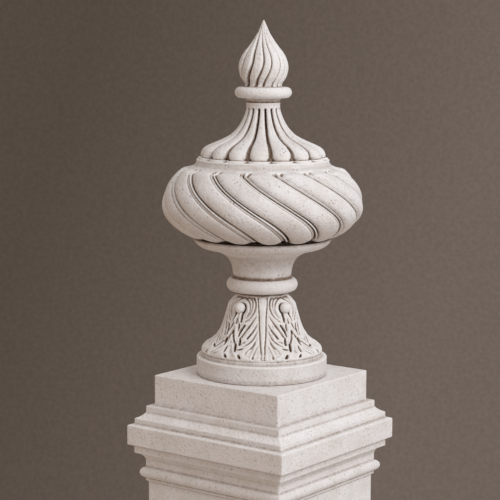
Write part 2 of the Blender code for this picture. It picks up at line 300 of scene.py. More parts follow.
def carvedLimestone(name, values):
    # Fine limestone, carved and rubbed: matt and pale, with fine grain, small open pits and brown hollows of
    # grime and painted shade
    material = bpy.data.materials.new(name)
    material.use_nodes = True
    tree = material.node_tree
    shader = tree.nodes["Principled BSDF"]
    shader.inputs["Roughness"].default_value = values["roughness"]
    shader.inputs["IOR"].default_value = 1.49  # the lower index of calcite
    shader.inputs["Specular IOR Level"].default_value = 0.25  # its open pores scatter most of the gloss
    place = addNode(tree, "ShaderNodeTexCoord").outputs["Object"]

    patterns = []
    for size, detail, rough in (("patchSize", 5, 0.62), ("grainSize", 3, 0.8), ("speckSize", 2, 0.6),
                                ("pittedSize", 3, 0.5), ("blotSize", 4, 0.65)):
        settings = {"Scale": 1 / (values[size] * mm), "Detail": detail, "Roughness": rough}
        patterns.append(addNode(tree, "ShaderNodeTexNoise", settings, {"Vector": place}).outputs["Fac"])
    patches, grain, specks, pitted, blots = patterns

    hollow = addNode(tree, "ShaderNodeAttribute", {"attribute_name": "hollow"}).outputs["Fac"]
    arris = addNode(tree, "ShaderNodeAttribute", {"attribute_name": "arris"}).outputs["Fac"]
    uneven = addNode(tree, "ShaderNodeMath", {"operation": "MULTIPLY_ADD", 1: 2.4, 2: -0.2}, {0: blots})
    blotted = addNode(tree, "ShaderNodeMath", {"operation": "MULTIPLY"},
                      {0: hollow, 1: uneven.outputs["Value"]}).outputs["Value"]

    shares = []  # from one range to another: where each of the patches, specks and so on is, and how strong
    for socket, low, high, toLow, toHigh in (
            (patches, 0.42, 0.68, 0, 1), (grain, 0.3, 0.7, 0.91, 1.05),
            (specks, 0.60, 0.68, 0, values["speckShare"]), (pitted, 0.42, 0.68, 0.04, values["pitShare"]),
            (blotted, *values["grimeAndShadeRange"], 0, 0.85), (blotted, *values["deepRange"], 0, 0.95),
            (arris, *values["crestRange"], 0, 0.8)):
        settings = {"From Min": low, "From Max": high, "To Min": toLow, "To Max": toHigh}
        shares.append(addNode(tree, "ShaderNodeMapRange", settings, {"Value": socket}).outputs["Result"])
    patchShare, grainTone, speckShare, pitSize, grimeAndShadeShare, deepShare, crestShare = shares

    cells = addNode(tree, "ShaderNodeTexVoronoi", {"Scale": 1 / (values["pitSpacing"] * mm)}, {"Vector": place})
    inPit = addNode(tree, "ShaderNodeMath", {"operation": "SUBTRACT"},
                    {0: pitSize, 1: cells.outputs["Distance"]}).outputs["Value"]
    pitMask = addNode(tree, "ShaderNodeMapRange", {"From Max": 0.1}, {"Value": inPit}).outputs["Result"]

    faces = addNode(tree, "ShaderNodeMix", {"data_type": "RGBA", 6: fromHex(values["pale"]),
                                            7: fromHex(values["warm"])}, {0: patchShare}).outputs[2]
    colour = addNode(tree, "ShaderNodeVectorMath", {"operation": "SCALE"},
                     {0: faces, "Scale": grainTone}).outputs["Vector"]
    # over the stone's tone: specks and pits, then grime and painted shade in the hollows, then rubbed arrises
    # with painted highlight
    for share, layer in ((speckShare, "pit"), (pitMask, "pit"), (grimeAndShadeShare, "grimeAndShade"), (deepShare, "deepGrimeAndShade"),
                         (crestShare, "crest")):
        colour = addNode(tree, "ShaderNodeMix", {"data_type": "RGBA", 7: fromHex(values[layer])},
                         {0: share, 6: colour}).outputs[2]
    tree.links.new(colour, shader.inputs["Base Color"])

    normal = None
    for pattern, depth, inward, strength in (
            (pitMask, "pitDepth", True, 0.9), (specks, "speckDepth", True, 0.8),
            (grain, "grainDepth", False, 0.8)):
        settings = {"invert": inward, "Strength": strength, "Distance": values[depth] * mm}
        bump = addNode(tree, "ShaderNodeBump", settings, {"Height": pattern})
        if normal:
            tree.links.new(normal, bump.inputs["Normal"])
        normal = bump.outputs["Normal"]
    tree.links.new(normal, shader.inputs["Normal"])
    return material


finialStone = carvedLimestone("carvedLimestone", limestone)
squareLimestone = dict(limestone, pale="#f0ecea", warm="#e7e1dc", patchSize=40, pitShare=0.17)  # cleaner stones
postStone = carvedLimestone("rubbedLimestone", squareLimestone)
print("limestone ready")


# The finial, from the base up. Radii are in mm, and heights in mm above the bed that it stands on.
bedJoint = 0.3
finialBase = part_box("finial")[0].z / mm
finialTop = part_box("finial")[1].z / mm
seat = finialBase - bedJoint
faceLimit = 196000

base = {"columns": 96, "radius": 147, "top": 41.5, "edge": 3.2, "fillet": (136.5, 50.5)}  # fillet: radius, top


def baseZone():
    radius, top, edge = base["radius"], base["top"], base["edge"]
    fillet, filletTop = base["fillet"]
    outline = [(along, bedJoint) for along in (0, 60, 110, radius - 2)] + [(radius - 0.6, 0.9)]
    outline += [(radius, height) for height in (2.3, 14, 26, 32, 35.5, top - edge)]
    outline += arcTo((radius, top - edge), (radius - edge, top), 1.1, 4)
    outline += [(radius - 5, top + 0.1), (fillet + 0.4, top + 0.2), (fillet, top + 0.8)]
    outline += [(fillet, filletTop - 0.6), (fillet - 0.6, filletTop)]
    return carvedZone(outline, base["columns"])


foot = {
    "columns": 480,
    "step": 1.4,  # from row to row
    "ribTurn": -52.1,  # degrees from +X
    "lean": 3.0,  # how far the leaves lean to the front and back ribs at their top, in degrees
    "leanHeights": (105, 140),  # from none of it to all of it
    "ground": 9.0,  # how deep the deepest cuts go
    "ribHeights": (52, 63, 85, 111, 145, 174),
    "ribHalfWidths": (0.8, 1.5, 3.6, 5.6, 7.4, 9.6),
    "ribGroove": (3.5, 4.8),  # width and depth of the groove beside a rib
    "berryRadius": 12,
    "berryHeight": 158,
    "berryReach": 75,
    "recess": (17.6, 15.6),  # half width and half height of the hollow round a berry
    "dish": 3.5,  # how far the stone falls towards that hollow
    "stalk": (8, 7),  # how far below the middle of a berry its stalk starts, and half its width
    "drill": (106, 2.2, 3.6),  # the drilled hole in a husk: height, half width and half height
    # dirt and painted shade for each mm of a slot, a vein, a husk's vein and a rib's groove, then in the recess
    # and the hole
    "dirtAndShade": (0.6, 0.42, 0.72, 0.42, 3.5, 5),
    "bell": ((135.5, 51.8), (138, 54.5), (137.8, 58), (134, 65.6), (122, 72.4), (113.3, 79), (104.7, 86),
             (101, 92.8), (96, 99.6), (93, 106), (90, 113), (87.5, 120), (85.5, 127), (83.4, 134), (81.6, 141),
             (79.4, 147.5), (78, 154), (76, 161), (73, 165.5), (69, 170), (64, 175.5), (59.5, 179.5),
             (58.5, 182)),
}

# The cuts on half a leaf and half a husk, each a line of (degrees from the rib, height) with its half widths
# and depths in mm at its start, middle and end
veins = (
    (((45, 180.5), (37.8, 178), (30, 174), (25, 167), (23.4, 160), (23.6, 153), (27.3, 143.2), (30.8, 137.2)),
     (2.6, 3.2, 2.4), (2.4, 2.8, 1.8)),
    (((36, 182), (28, 180), (21.8, 174), (19.4, 166), (19.4, 159), (21, 152), (25.2, 142.4), (28, 138)),
     (2.8, 3.2, 2.4), (3.8, 3, 1.8)),
    (((24, 182), (18, 178), (14, 171.5), (13, 163), (14.4, 155), (17.2, 147.5), (21.3, 139.2), (29.5, 130)),
     (2.8, 3.4, 2.4), (4.2, 3.2, 1.8)),
    (((11.5, 142), (16.6, 131.2), (19, 124.8), (23.4, 114.4), (27.2, 105.6), (29.7, 97.8)),
     (2.2, 3.2, 2.4), (2, 3.6, 3)),
    (((10.5, 150), (13, 140), (17, 134.5), (22, 130)), (2, 2.4, 1.8), (0.8, 1.4, 0.8)),
    (((8.6, 126), (12, 115), (15.6, 106), (18.6, 100), (20.4, 95.8)), (2.2, 2.8, 2.4), (1.8, 3.2, 6)),
    (((7.8, 111), (10.2, 101), (13.8, 91.2), (19, 83.4), (24, 79)), (2.2, 2.8, 2.2), (1.8, 3, 1.8)),
    (((7.4, 99), (9.5, 88), (12.4, 81), (15.2, 76), (17.2, 71), (17.6, 66.5), (16, 62.8), (12.8, 61.8)),
     (2, 2.6, 2), (1.4, 2.8, 2.2)),
    (((6, 82), (7.8, 73.5), (9.6, 65.5), (9.7, 58.4)), (2, 2.5, 2.4), (1.6, 2.6, 6)),
    (((22, 92), (25, 86), (27, 81)), (2, 2.4, 1.8), (0.8, 1.6, 1)),
    (((45, 134), (45, 127), (45, 119)), (1.6, 2.5, 1.8), (1.8, 3.2, 2)),
    (((39.5, 126), (37.6, 117), (36.8, 109)), (1.6, 2.6, 1.6), (2.4, 4, 2)),
    (((43.6, 103), (41.5, 97), (39.3, 91), (36.6, 85.8)), (1.8, 2.4, 2.2), (2.4, 3.4, 4)),
)
slots = (
    (((37.6, 149), (38.2, 141), (37.6, 136), (36, 131), (37, 128.6)), (2, 2.5, 1.7), (8.5, 8.5, 7)),
    (((28.7, 121.8), (30.7, 118.4), (32.4, 113.6), (33.5, 107), (33.8, 98.4)), (2, 2.9, 1.5), (7, 8.7, 4)),
    (((34.2, 84), (31.8, 77.2), (29.6, 70.2)), (2.4, 2.6, 1.8), (8.5, 8.5, 6)),
    (((22.2, 76.4), (24.2, 74.6), (27.6, 73.8)), (1.4, 2.4, 2), (5, 8, 5)),
    (((24.4, 66), (23.4, 62), (22.4, 57.8)), (1.6, 2.4, 2.7), (6.5, 8.5, 8.5)),
)
spoons = (
    (((9.4, 88), (11.8, 77), (13.2, 66)), (2, 4.6, 5), (1, 2.6, 2.6)),
    (((4.4, 76), (5.6, 67), (6, 60)), (1.8, 3.6, 4.2), (0.8, 1.7, 1.7)),
    (((38.2, 79), (35, 70), (31.6, 61.5)), (2, 4.8, 6.8), (1, 2.6, 2.8)),
    (((23, 109), (25.4, 104), (28, 98)), (2, 3.6, 3), (0.6, 1.4, 1.4)),
    (((18, 126), (23, 119), (28.6, 112)), (2, 3.8, 3), (0.6, 1.4, 1.2)),
    (((14, 97), (18, 91), (23, 87)), (1.8, 3.6, 3.2), (0.6, 1.4, 1.4)),
    (((13, 111), (16.5, 118), (14, 126)), (1.8, 3, 2), (0.5, 1.1, 0.5)),
)
# These are on one half only: below 45 degrees on the half next to the front or back rib, else on the other
loneVeins = (
    (((47.5, 101.2), (48.5, 94.8), (50, 88.5)), (1.6, 2.2, 1.6), (2, 2.8, 2)),
    (((45.5, 84), (47.5, 75), (51.5, 67), (57, 61.5)), (1.4, 2.2, 1.8), (0.8, 1.8, 1)),
    (((47, 68), (50.5, 62.5), (54.5, 58.5)), (1.4, 2.2, 1.6), (1.2, 2.2, 2)),
)
loneSlots = (
    (((30.6, 95.6), (29.3, 88.6), (28.4, 82.8)), (1.7, 2.3, 2.2), (6, 8.7, 8)),
    (((43.3, 77.4), (42.3, 72.4), (41.3, 68)), (1.6, 2.3, 1.6), (6, 8.5, 6)),
    (((39.2, 63.4), (38.5, 61), (37.4, 58)), (1.8, 2.5, 2.7), (6, 8.5, 8.5)),
    (((54.6, 99), (52.2, 91.6), (50.8, 86.8), (49.2, 79)), (1.6, 2.8, 1.8), (5, 8.7, 6)),
)
# Raised edges and small leaves that lie over the rest, in the same way with heights in place of depths
ridges = (
    (((42.6, 147), (41.2, 138), (40, 131), (37.6, 125.4)), (2.6, 3.2, 1), (2.4, 3.2, 2)),
    (((44.4, 122), (41, 112), (38.6, 101), (36.4, 91.5), (33.6, 84.4)), (2.2, 2.9, 1), (2.4, 3, 2)),
    (((22, 127.5), (27.4, 125.2), (32.6, 124.5)), (1.6, 2.4, 0.9), (0.6, 2, 2)),
)
loneRidges = (
    (((45, 100), (43.4, 90), (45.3, 81), (47.2, 72.5), (50.4, 66), (56, 59.5)),
     (1.8, 2.6, 1.4), (2, 3, 1.8)),
    (((46.5, 115), (50.6, 108), (52, 100), (50.4, 93)), (1.6, 2.6, 1.2), (1.6, 2.6, 1.6)),
    (((37.4, 81), (33.2, 73), (28.6, 66), (25, 59)), (1.2, 1.8, 1.6), (1.2, 2, 1.6)),
    (((43.6, 84), (40.6, 74), (39.6, 66)), (1.2, 1.7, 1.4), (1.2, 1.8, 1.4)),
)


def footZone():
    bell = spacedAlong(softened(spacedAlong(foot["bell"], foot["step"]), 4), foot["step"])
    along = distances(bell)

    def pathAt(height):
        return np.interp(height, bell[:, 1], along)

    def deepest(cuts, spread, power, fall, folded, path, radius):
        # the deepest of the cuts at each vertex: spread widens them, power and fall give the shape across one
        reach = 9  # the furthest that a cut is looked for, in degrees and in mm
        total = np.zeros(len(folded))
        for line, widths, depths in cuts:
            points = softened(spacedAlong(line, 1.3), 10)
            part = np.linspace(0, 1, len(points))
            halfWidth = np.interp(part, (0, 0.5, 1), widths) * spread
            depth = np.interp(part, (0, 0.5, 1), depths)
            linePath = pathAt(points[:, 1])
            close = (folded > points[:, 0].min() - reach) & (folded < points[:, 0].max() + reach)
            close &= (path > linePath.min() - reach) & (path < linePath.max() + reach)
            near = np.flatnonzero(close)
            share = np.full(len(near), float(reach))
            deep = np.zeros(len(near))
            for place in range(len(points)):
                sideways = np.radians(folded[near] - points[place, 0]) * radius[near]
                away = np.hypot(sideways, path[near] - linePath[place]) / halfWidth[place]
                closer = away < share
                share = np.where(closer, away, share)
                deep = np.where(closer, depth[place], deep)
            cut = deep * np.clip(1 - share ** power, 0, 1) ** fall
            total[near] = np.maximum(total[near], cut)
        return total

    def relief(column, row, radius, height):
        turn = column * math.tau / foot["columns"]
        path = along[row]
        worn = np.stack([radius * np.cos(turn), radius * np.sin(turn), height], axis=1)
        fromFront = np.mod(np.degrees(turn) - foot["ribTurn"] + 0.5 * waves(worn, 60, 5) + 180, 360) - 180
        low, high = foot["leanHeights"]
        leaning = foot["lean"] * np.clip((height - low) / (high - low), 0, 1)
        fromFront = np.abs(fromFront + leaning * np.sin(np.radians(2 * fromFront)))
        quarter = np.minimum(fromFront, 180 - fromFront)
        folded = np.minimum(quarter, 90 - quarter)  # most of a leaf is the same on both its sides
        fromMiddle = np.radians(folded) * radius
        beside = np.radians(45 - folded) * radius
        path = path + 0.6 * waves(worn, 50, 6)

        above = path - pathAt(foot["berryHeight"])
        rim = np.hypot(beside / foot["recess"][0], above / foot["recess"][1])
        dished = foot["ground"] - foot["dish"] * np.clip(1.9 - rim, 0, 1)
        raised = dished - 1.2 * np.clip(1 - (folded - 6) / 9, 0, 1)
        spoonCut = deepest(spoons, 1, 3, 1, folded, path, radius)
        veinCut, slotCut, ridge = (
            np.maximum(deepest(cuts, *shape, folded, path, radius),
                       deepest(lone, *shape, quarter, path, radius))
            for cuts, lone, shape in ((veins, loneVeins, (1.15, 1.8, 1.1)), (slots, loneSlots, (1.1, 4, 1)),
                                      (ridges, loneRidges, (1, 2, 0.7))))
        raised = np.minimum(raised - spoonCut - 1.15 * veinCut, foot["ground"] - slotCut)
        raised = np.maximum(raised, (dished + ridge) * (ridge > 0.3))

        ribHalf = np.interp(height, foot["ribHeights"], foot["ribHalfWidths"])
        crown = foot["ground"] - 0.1 - 1.1 * (fromMiddle / ribHalf) ** 2
        pastRib = np.abs((fromMiddle - ribHalf) / foot["ribGroove"][0] - 0.5) * 2
        groove = foot["ribGroove"][1] * np.clip(1 - pastRib, 0, 1) ** 0.8
        raised = np.where(fromMiddle < ribHalf, crown, raised) - groove

        stalk = (above < -foot["stalk"][0]) & (beside < foot["stalk"][1])
        wall = np.clip((rim - 0.9) / 0.1, 0, 1)
        raised = np.where((rim < 1) & ~stalk, np.minimum(raised, raised * wall), raised)
        drillHeight, drillWidth, drillRise = foot["drill"]
        drill = np.hypot(beside / drillWidth, (path - pathAt(drillHeight)) / drillRise)
        raised = np.where(drill < 1, np.minimum(raised, 1.0 + 3 * drill), raised)
        raised = evened(np.maximum(raised, 0), column, row, 1)

        # dirt and painted shade in the cuts, round each berry and in the drilled hole; the raised edges are
        # kept clean
        inSlots, inVeins, inHusk, inGroove, inRecess, inHole = foot["dirtAndShade"]
        dirtAndShade = inSlots * slotCut + np.where(folded > 32, inHusk, inVeins) * veinCut + inGroove * groove
        dirtAndShade = dirtAndShade + inRecess * ((rim < 1.02) & ~stalk) + inHole * (drill < 1.2)
        dirtAndShade = evened(np.where(ridge > 0.8, 0, dirtAndShade), column, row, 2) - 0.4 - 0.2 * ridge
        top = np.clip((height - 179) / 2.5, 0, 1)  # the cuts run out under the ring
        raised = raised * (1 - top) + np.maximum(raised, 4.5) * top
        fromEnd = np.minimum(along[row], along[-1] - along[row])
        ends = np.clip((fromEnd - 0.5) / 2, 0, 1)
        return turn, (foot["ground"] - raised) * ends, 0, dirtAndShade * ends

    return carvedZone(bell, foot["columns"], relief)


def berries():  # the four balls of the leaves
    reach, height = foot["berryReach"], foot["berryHeight"] + seat
    fromRib = np.array((45 - foot["lean"], 135 + foot["lean"]))
    turns = np.radians(foot["ribTurn"] + fromRib * np.array([[1], [-1]])).ravel()
    return [((reach * math.cos(turn), reach * math.sin(turn), height), foot["berryRadius"]) for turn in turns]


stem = {
    "columns": 128,
    "ring": (80.5, 189, 219),  # radius, bottom, top
    "hollow": ((65, 222), (65.6, 229), (66.4, 236), (69.4, 250), (73.5, 258), (79, 266), (86, 271.5), (99, 278),
               (112, 284)),
    "saucerLip": (118, 286),
    "saucerRim": (154.5, 305.5),
    "saucerTop": 308.3,
    "core": 131,  # radius where the body stands on the saucer
}


def stemZone():
    radius, bottom, top = stem["ring"]
    lip, rim, upper, core = stem["saucerLip"], stem["saucerRim"], stem["saucerTop"], stem["core"]
    outline = [(58, 183.2), (57.6, 186), (58, 188.4), (62, bottom)]
    outline += arcTo((62, bottom), (68, top), radius - 65.5, 16) + [(66.2, 219.6), (65.2, 221)]
    outline += [tuple(point) for point in softened(spacedAlong(stem["hollow"], 5), 2)[1:]]
    outline += [(113.2, 285.2), lip] + arcTo(lip, rim, 6.5, 9)
    outline += [(154.2, 307.2), (152.8, upper), (145, upper - 0.6), (138, upper - 1), (core + 1, upper - 1)]
    outline += [(core, upper + 0.2), (core, upper + 2.2)]
    return carvedZone(outline, stem["columns"])


body = {
    "lobes": 15,
    "beadTurn": (-63.8, 400),  # a bead's place: degrees from +X, and at what height
    "swirl": (0.3774, 0.00041),  # degrees for each mm down from there, and how much less for each mm squared
    "rows": 58,
    "radius": 225,
    "widest": 383,  # the height of that radius, and how far the curve would reach above and below it
    "reachUp": 136,
    "reachDown": 102,
    # across one lobe, from a bead to the next: share of the pitch, and depth in mm where the body is widest
    "section": ((0, 2.2), (0.012, 2.4), (0.022, 3.6), (0.032, 8.4), (0.044, 12.4), (0.058, 12), (0.074, 9.8),
                (0.094, 7), (0.12, 4.6), (0.165, 2.4), (0.225, 1.1), (0.3, 0.3), (0.39, 0), (0.48, 0),
                (0.57, 0.3), (0.65, 0.8), (0.72, 1.5), (0.775, 2.3), (0.81, 3), (0.832, 4.4), (0.845, 6.4),
                (0.858, 5.4), (0.9, 6.2), (0.936, 8.2), (0.956, 11.2), (0.972, 8.6), (0.986, 3.2)),
    "underside": ((132, 312.4), (140, 311.6), (149, 311.2), (155, 311.6), (161, 312.8), (167, 315)),
    "neck": ((170, 464.3), (163, 467.2), (156.5, 469.6), (151.8, 472.4), (149.4, 475.6), (148.2, 479)),
    "lobeEnd": (8, 21, 22),  # how far a lobe's lower end is rounded off, and where and how widely
    # dirt and painted shade across a lobe, by share of the pitch; below 0 the beads are rubbed bright, with
    # painted highlight
    "dirtAndShade": ((0, 0.016, 0.034, 0.046, 0.064, 0.09, 0.2, 0.82, 0.845, 0.87, 0.93, 0.956, 0.968, 0.984, 1),
             (-0.9, -0.9, 1, 1.5, 1.1, 0.4, 0, 0, 0.35, 0, 0.5, 1.3, 1, -0.8, -0.9)),
    "shoulder": 14,  # how far the grooves stay from the band, along the outline
    "fan": 1.3,  # how much a bead and its grooves spread at their top
}


def swirl(height):  # how far a bead has turned from its place, in radians
    drop = body["beadTurn"][1] - height
    return np.radians(body["swirl"][0] * drop - body["swirl"][1] * drop ** 2)


def bodyZone():
    section = np.array(body["section"])
    perLobe = len(section)
    columns = perLobe * body["lobes"]
    sides = []
    for share in np.linspace(-0.735, 0.96, body["rows"]):
        reach = body["reachUp"] if share > 0 else body["reachDown"]
        rise = reach * math.sin(share * math.pi / 2 * 0.98)
        sides.append((body["radius"] * math.sqrt(max(0, 1 - (rise / reach) ** 2)), body["widest"] + rise))
    sides = [point for point in sides if 318 < point[1] < 466]
    outline = softened(list(body["underside"]) + sides + list(body["neck"]), 1)
    # the rows are closer together over the last 60 mm, where the beads spread
    closer = len(outline) - 1 - int(np.searchsorted(distances(outline[::-1])[1:], 60))
    outline = np.concatenate((spacedAlong(outline[:closer + 1], 3.6)[:-1], spacedAlong(outline[closer:], 2)))
    along = distances(outline)

    def relief(column, row, radius, height):
        lobe, place = np.divmod(column, perLobe)
        across, deep = section[place].T
        fromTop = along[-1] - along[row]
        fromBottom = along[row]
        fromGroove = fromTop - body["shoulder"] - 6
        topness = np.clip(1 - fromGroove / 16, 0, 1) ** 2
        near = np.where(across > 0.5, across - 1, across)
        share = across + body["fan"] * near * np.exp(-(near / 0.12) ** 2) * topness + 0.05 * topness
        turn = math.radians(body["beadTurn"][0]) + math.tau / body["lobes"] * (lobe + share) + swirl(height)
        fade = np.clip(fromGroove / 5 + 0.3, 0, 1) ** 0.7 * (0.6 + 0.4 * np.clip(fromBottom / 50, 0, 1))
        fade = fade * np.clip(fromBottom / 7, 0, 1)
        middle = np.abs(across - 0.44) / 0.4
        most, where, spread = body["lobeEnd"]
        roundLow = most * np.clip(1 - np.abs(fromBottom - where) / spread, 0, 1) * np.clip(middle, 0, 1) ** 3
        cut = deep * fade * (0.55 + 0.45 * radius / body["radius"]) + roundLow
        dirtAndShade = np.interp(across, *body["dirtAndShade"])
        lower = np.interp(fromBottom, (20, 60, 120), (2.6, 1.7, 1))  # more of it low down: painted shade under the swell of the body
        dirtAndShade = np.where(dirtAndShade > 0, dirtAndShade * lower, dirtAndShade) * fade
        toBead = np.minimum(across, 1 - across)
        # painted shade beside the beads low down, and painted shadow where the lobe ends overhang the saucer
        dirtAndShade = dirtAndShade + 2.2 * np.clip(1 - toBead / 0.18, 0, 1) ** 1.5 * np.clip(1.2 - fromBottom / 70, 0, 1)
        dirtAndShade = dirtAndShade + 1.5 * np.clip(1.3 - fromBottom / 18, 0, 1)
        return turn, cut, 0, dirtAndShade

    return carvedZone(outline, columns, relief)


band = {"radius": 148, "top": 485, "columns": 128}
petal = {
    "count": 16,
    "perPetal": 24,
    "turn": -56.8,  # a petal's middle, in degrees from +X
    "slotDepth": 9.5,
    "gap": ((37, 50, 75, 110, 128, 140), (5.6, 6.4, 7.6, 9.2, 9.2, 9.6)),  # between petals, by radius
    "club": 14,  # how far a petal's end is rounded back
    "endTop": 502,  # below this a petal's end narrows
    "scallop": 17,  # how far a lip's ends curve in
    "lip": ((144.6, 485.2), (145.0, 486.2), (144.8, 488.0), (143.6, 489.2), (140.8, 489.4)),
    "bell": ((139.0, 490.6), (139.8, 494), (139.2, 498.5), (137, 503), (133, 509), (128, 512.5), (120, 516.5),
             (108, 521.6), (96, 526.5), (82.3, 533), (72.3, 539), (64.6, 546), (58.5, 552.4), (53.7, 559),
             (49.4, 566), (46, 572.6), (43, 579.5), (40.5, 586), (38.6, 592), (37.5, 598.4)),
}


def bandZone():
    radius = band["radius"]
    outline = [(radius, 479.8), (radius, 481.5), (radius, band["top"] - 2)]
    outline += arcTo((radius, band["top"] - 2), (radius - 1.6, band["top"]), 0.6, 3)
    outline += [(radius - 3, band["top"] + 0.1)]
    return carvedZone(outline, band["columns"])


def petalZone():
    columns = petal["count"] * petal["perPetal"]
    oneTurn = math.tau / petal["count"]
    bell = spacedAlong(softened(spacedAlong(petal["bell"], 3.4), 2), 2.8)
    outline = np.concatenate((petal["lip"], bell))
    along = distances(outline)
    lipPitch = 144 * oneTurn  # from lip to lip where they are laid out

    def relief(column, row, radius, height):
        number, place = np.divmod(column, petal["perPetal"])
        even = (place / petal["perPetal"]) - 0.5
        share = np.sign(even) * (0.5 - 0.5 * (1 - np.abs(even) * 2) ** 1.4)  # closer columns near the slots
        turn = math.radians(petal["turn"]) + oneTurn * (number + share)
        pitch = oneTurn * radius
        fromMiddle = np.abs(share) * pitch
        low = np.clip((petal["endTop"] - height) / 13, 0, 1)
        half = (pitch - np.interp(radius, *petal["gap"])) / 2 - 9 * (1 - np.sqrt(1 - low ** 2))
        inSlot = np.clip((fromMiddle - half) / 1.6, 0, 1)
        outward = np.clip(fromMiddle / half, 0, 1)
        club = petal["club"] * (1 - np.sqrt(1 - 0.985 * outward ** 2))
        crown = 2.4 * outward ** 3 + club * np.interp(height, (489, 500, 522), (1, 0.9, 0))
        deep = petal["slotDepth"] + np.interp(radius, (110, 135), (0, 6))
        cut = crown + (deep - crown) * inSlot
        cut = cut * np.clip((along[-1] - along[row] - 0.5) / 1.5, 0, 1)
        onLip = row < len(petal["lip"])
        curved = np.clip(np.abs(share) * lipPitch / ((lipPitch - 3) / 2), 0, 1)
        scallop = petal["scallop"] * (1 - np.sqrt(1 - 0.99 * curved ** 2))
        inset = scallop * (onLip & (row > 0))
        cut = np.where(onLip, 0, cut)
        # dirt and painted shade in the slots between petals and at their edges, and painted shade where the
        # lips meet
        dirtAndShade = inSlot * np.interp(radius, (38, 52, 70, 110), (4.0, 2.6, 1.4, 1.1)) + 0.4 * outward ** 6
        dirtAndShade = np.where(onLip, 1.4 * curved ** 3 - 0.6, dirtAndShade)
        return turn, cut, inset, dirtAndShade

    return carvedZone(outline, columns, relief)


collar = {"columns": 96, "neckRadius": 37.4, "neckTop": 611.6, "ring": (63.4, 620.6, 644.7), "flat": 52}


def collarZone():
    radius, bottom, top = collar["ring"]
    neck = collar["neckRadius"]
    outline = [(neck, 599.2), (neck + 0.3, 600), (neck, 604), (neck + 0.4, 609.0), (neck + 0.1, 610.2)]
    outline += [(neck - 1.6, collar["neckTop"]), (neck - 1.6, 613.2), (neck - 0.2, 614)]
    outline += arcTo((neck - 0.2, 614), (neck + 5, 619.6), -1.2, 5)
    outline += [(neck + 6, 620.2), (collar["flat"], bottom)]
    outline += arcTo((collar["flat"], bottom), (collar["flat"], top), radius - collar["flat"], 14)
    outline += [(46, top), (43, top + 0.2)]
    return carvedZone(outline, collar["columns"])


flame = {
    "perTongue": 12,
    # one tongue after another: how many degrees it spans at the foot, and how strong the groove before it is
    "tongues": ((34, 1.3), (25, 1), (30, 0.85), (22, 0.6), (25, 0.6), (21, 0.9), (28, 0.7), (19, 1.1),
                (26, 0.6), (30, 1), (18, 0.7), (27, 1.1), (23, 0.8), (32, 1)),
    "first": -61,  # the first groove at the foot, in degrees from the front
    "front": -53.3,  # degrees from +X
    "bend": 0.42,  # share of the height where the tongues turn back
    "wind": (23, 12),  # how far a tongue winds up to there, in degrees, and how much that differs all round
    "unwind": 20,  # how far it turns back above, in degrees
    "depth": 5.6,
    "sides": ((42, 645.2), (40.6, 647.5), (40.4, 650), (42.6, 654.5), (46, 659), (50, 665), (52.7, 672),
              (54.5, 679), (55.6, 685), (55.3, 692), (54.1, 698), (52, 705), (49.5, 711.5), (45.6, 718),
              (40.8, 725), (35.4, 731), (30.3, 738), (25.6, 744), (21.3, 751), (17.1, 757.5), (13.4, 764),
              (10.4, 771), (7.9, 777), (5.2, 783), (2.6, 788.5), (1.0, 791.2), (0, 792)),
}


def flameTurn(share, fromFront):  # how far a tongue has wound, in degrees, at that share of the height
    wind = flame["wind"][0] - flame["wind"][1] * np.sin(np.radians(fromFront))
    up = wind * np.sin(math.pi / 2 * np.minimum(share / flame["bend"], 1))
    back = np.clip((share - flame["bend"]) / (1 - flame["bend"]), 0, 1)
    return up - flame["unwind"] * (1 - np.cos(math.pi * back)) / 2


def flameZone():
    low, tip = collar["ring"][2], flame["sides"][-1][1]
    spans, strengths = np.array(flame["tongues"]).T
    starts = flame["first"] + np.concatenate(([0], np.cumsum(spans)[:-1]))
    columns = len(spans) * flame["perTongue"]
    sides = spacedAlong(softened(spacedAlong(flame["sides"], 1.5), 3), 2.2)
    sides[-1] = (0, tip)
    along = distances(sides)

    def relief(column, row, radius, height):
        tongue, place = np.divmod(column, flame["perTongue"])
        even = place / flame["perTongue"]
        share = 0.5 * even + 0.25 * (1 - np.cos(math.pi * even))  # closer columns near the grooves
        fromFront = starts[tongue] + spans[tongue] * share
        level = np.clip((height - low) / (tip - low), 0, 1)
        turn = np.radians(flame["front"] + fromFront + flameTurn(level, fromFront))
        arc = np.radians(spans[tongue]) * radius  # a tongue's breadth here
        width = np.interp(level, (0, 0.3, 0.6, 1), (6.0, 4.6, 3.4, 2.2))
        before, after = strengths[tongue], strengths[(tongue + 1) % len(spans)]
        near = before * np.clip(1 - (share * arc / (width * before)) ** 1.5, 0, 1)
        far = after * np.clip(1 - ((1 - share) * arc / (width * after)) ** 1.5, 0, 1)
        crown = 0.25 * (2 * np.abs(share - 0.5)) ** 2
        fade = np.interp(level, (0, 0.05, 0.25, 0.6, 0.85, 0.97, 1), (0.7, 1, 1, 0.8, 0.5, 0.1, 0))
        cut = flame["depth"] * fade * (np.maximum(near, far) + crown) * np.clip(radius / 30, 0, 1)
        cut = cut * np.clip(along[row] / 3, 0, 1)
        # dirt and painted shade in the grooves, most low down
        dirtAndShade = 0.9 * np.maximum(near, far) ** 1.5 * np.interp(level, (0, 0.1, 0.5, 0.9), (0.8, 1.1, 0.4, 0))
        dirtAndShade = dirtAndShade * (1.0 - 0.45 * np.sin(np.radians(fromFront)))  # more painted shade on the side turned from the key light
        return turn, cut, 0, dirtAndShade

    return carvedZone(sides, columns, relief)


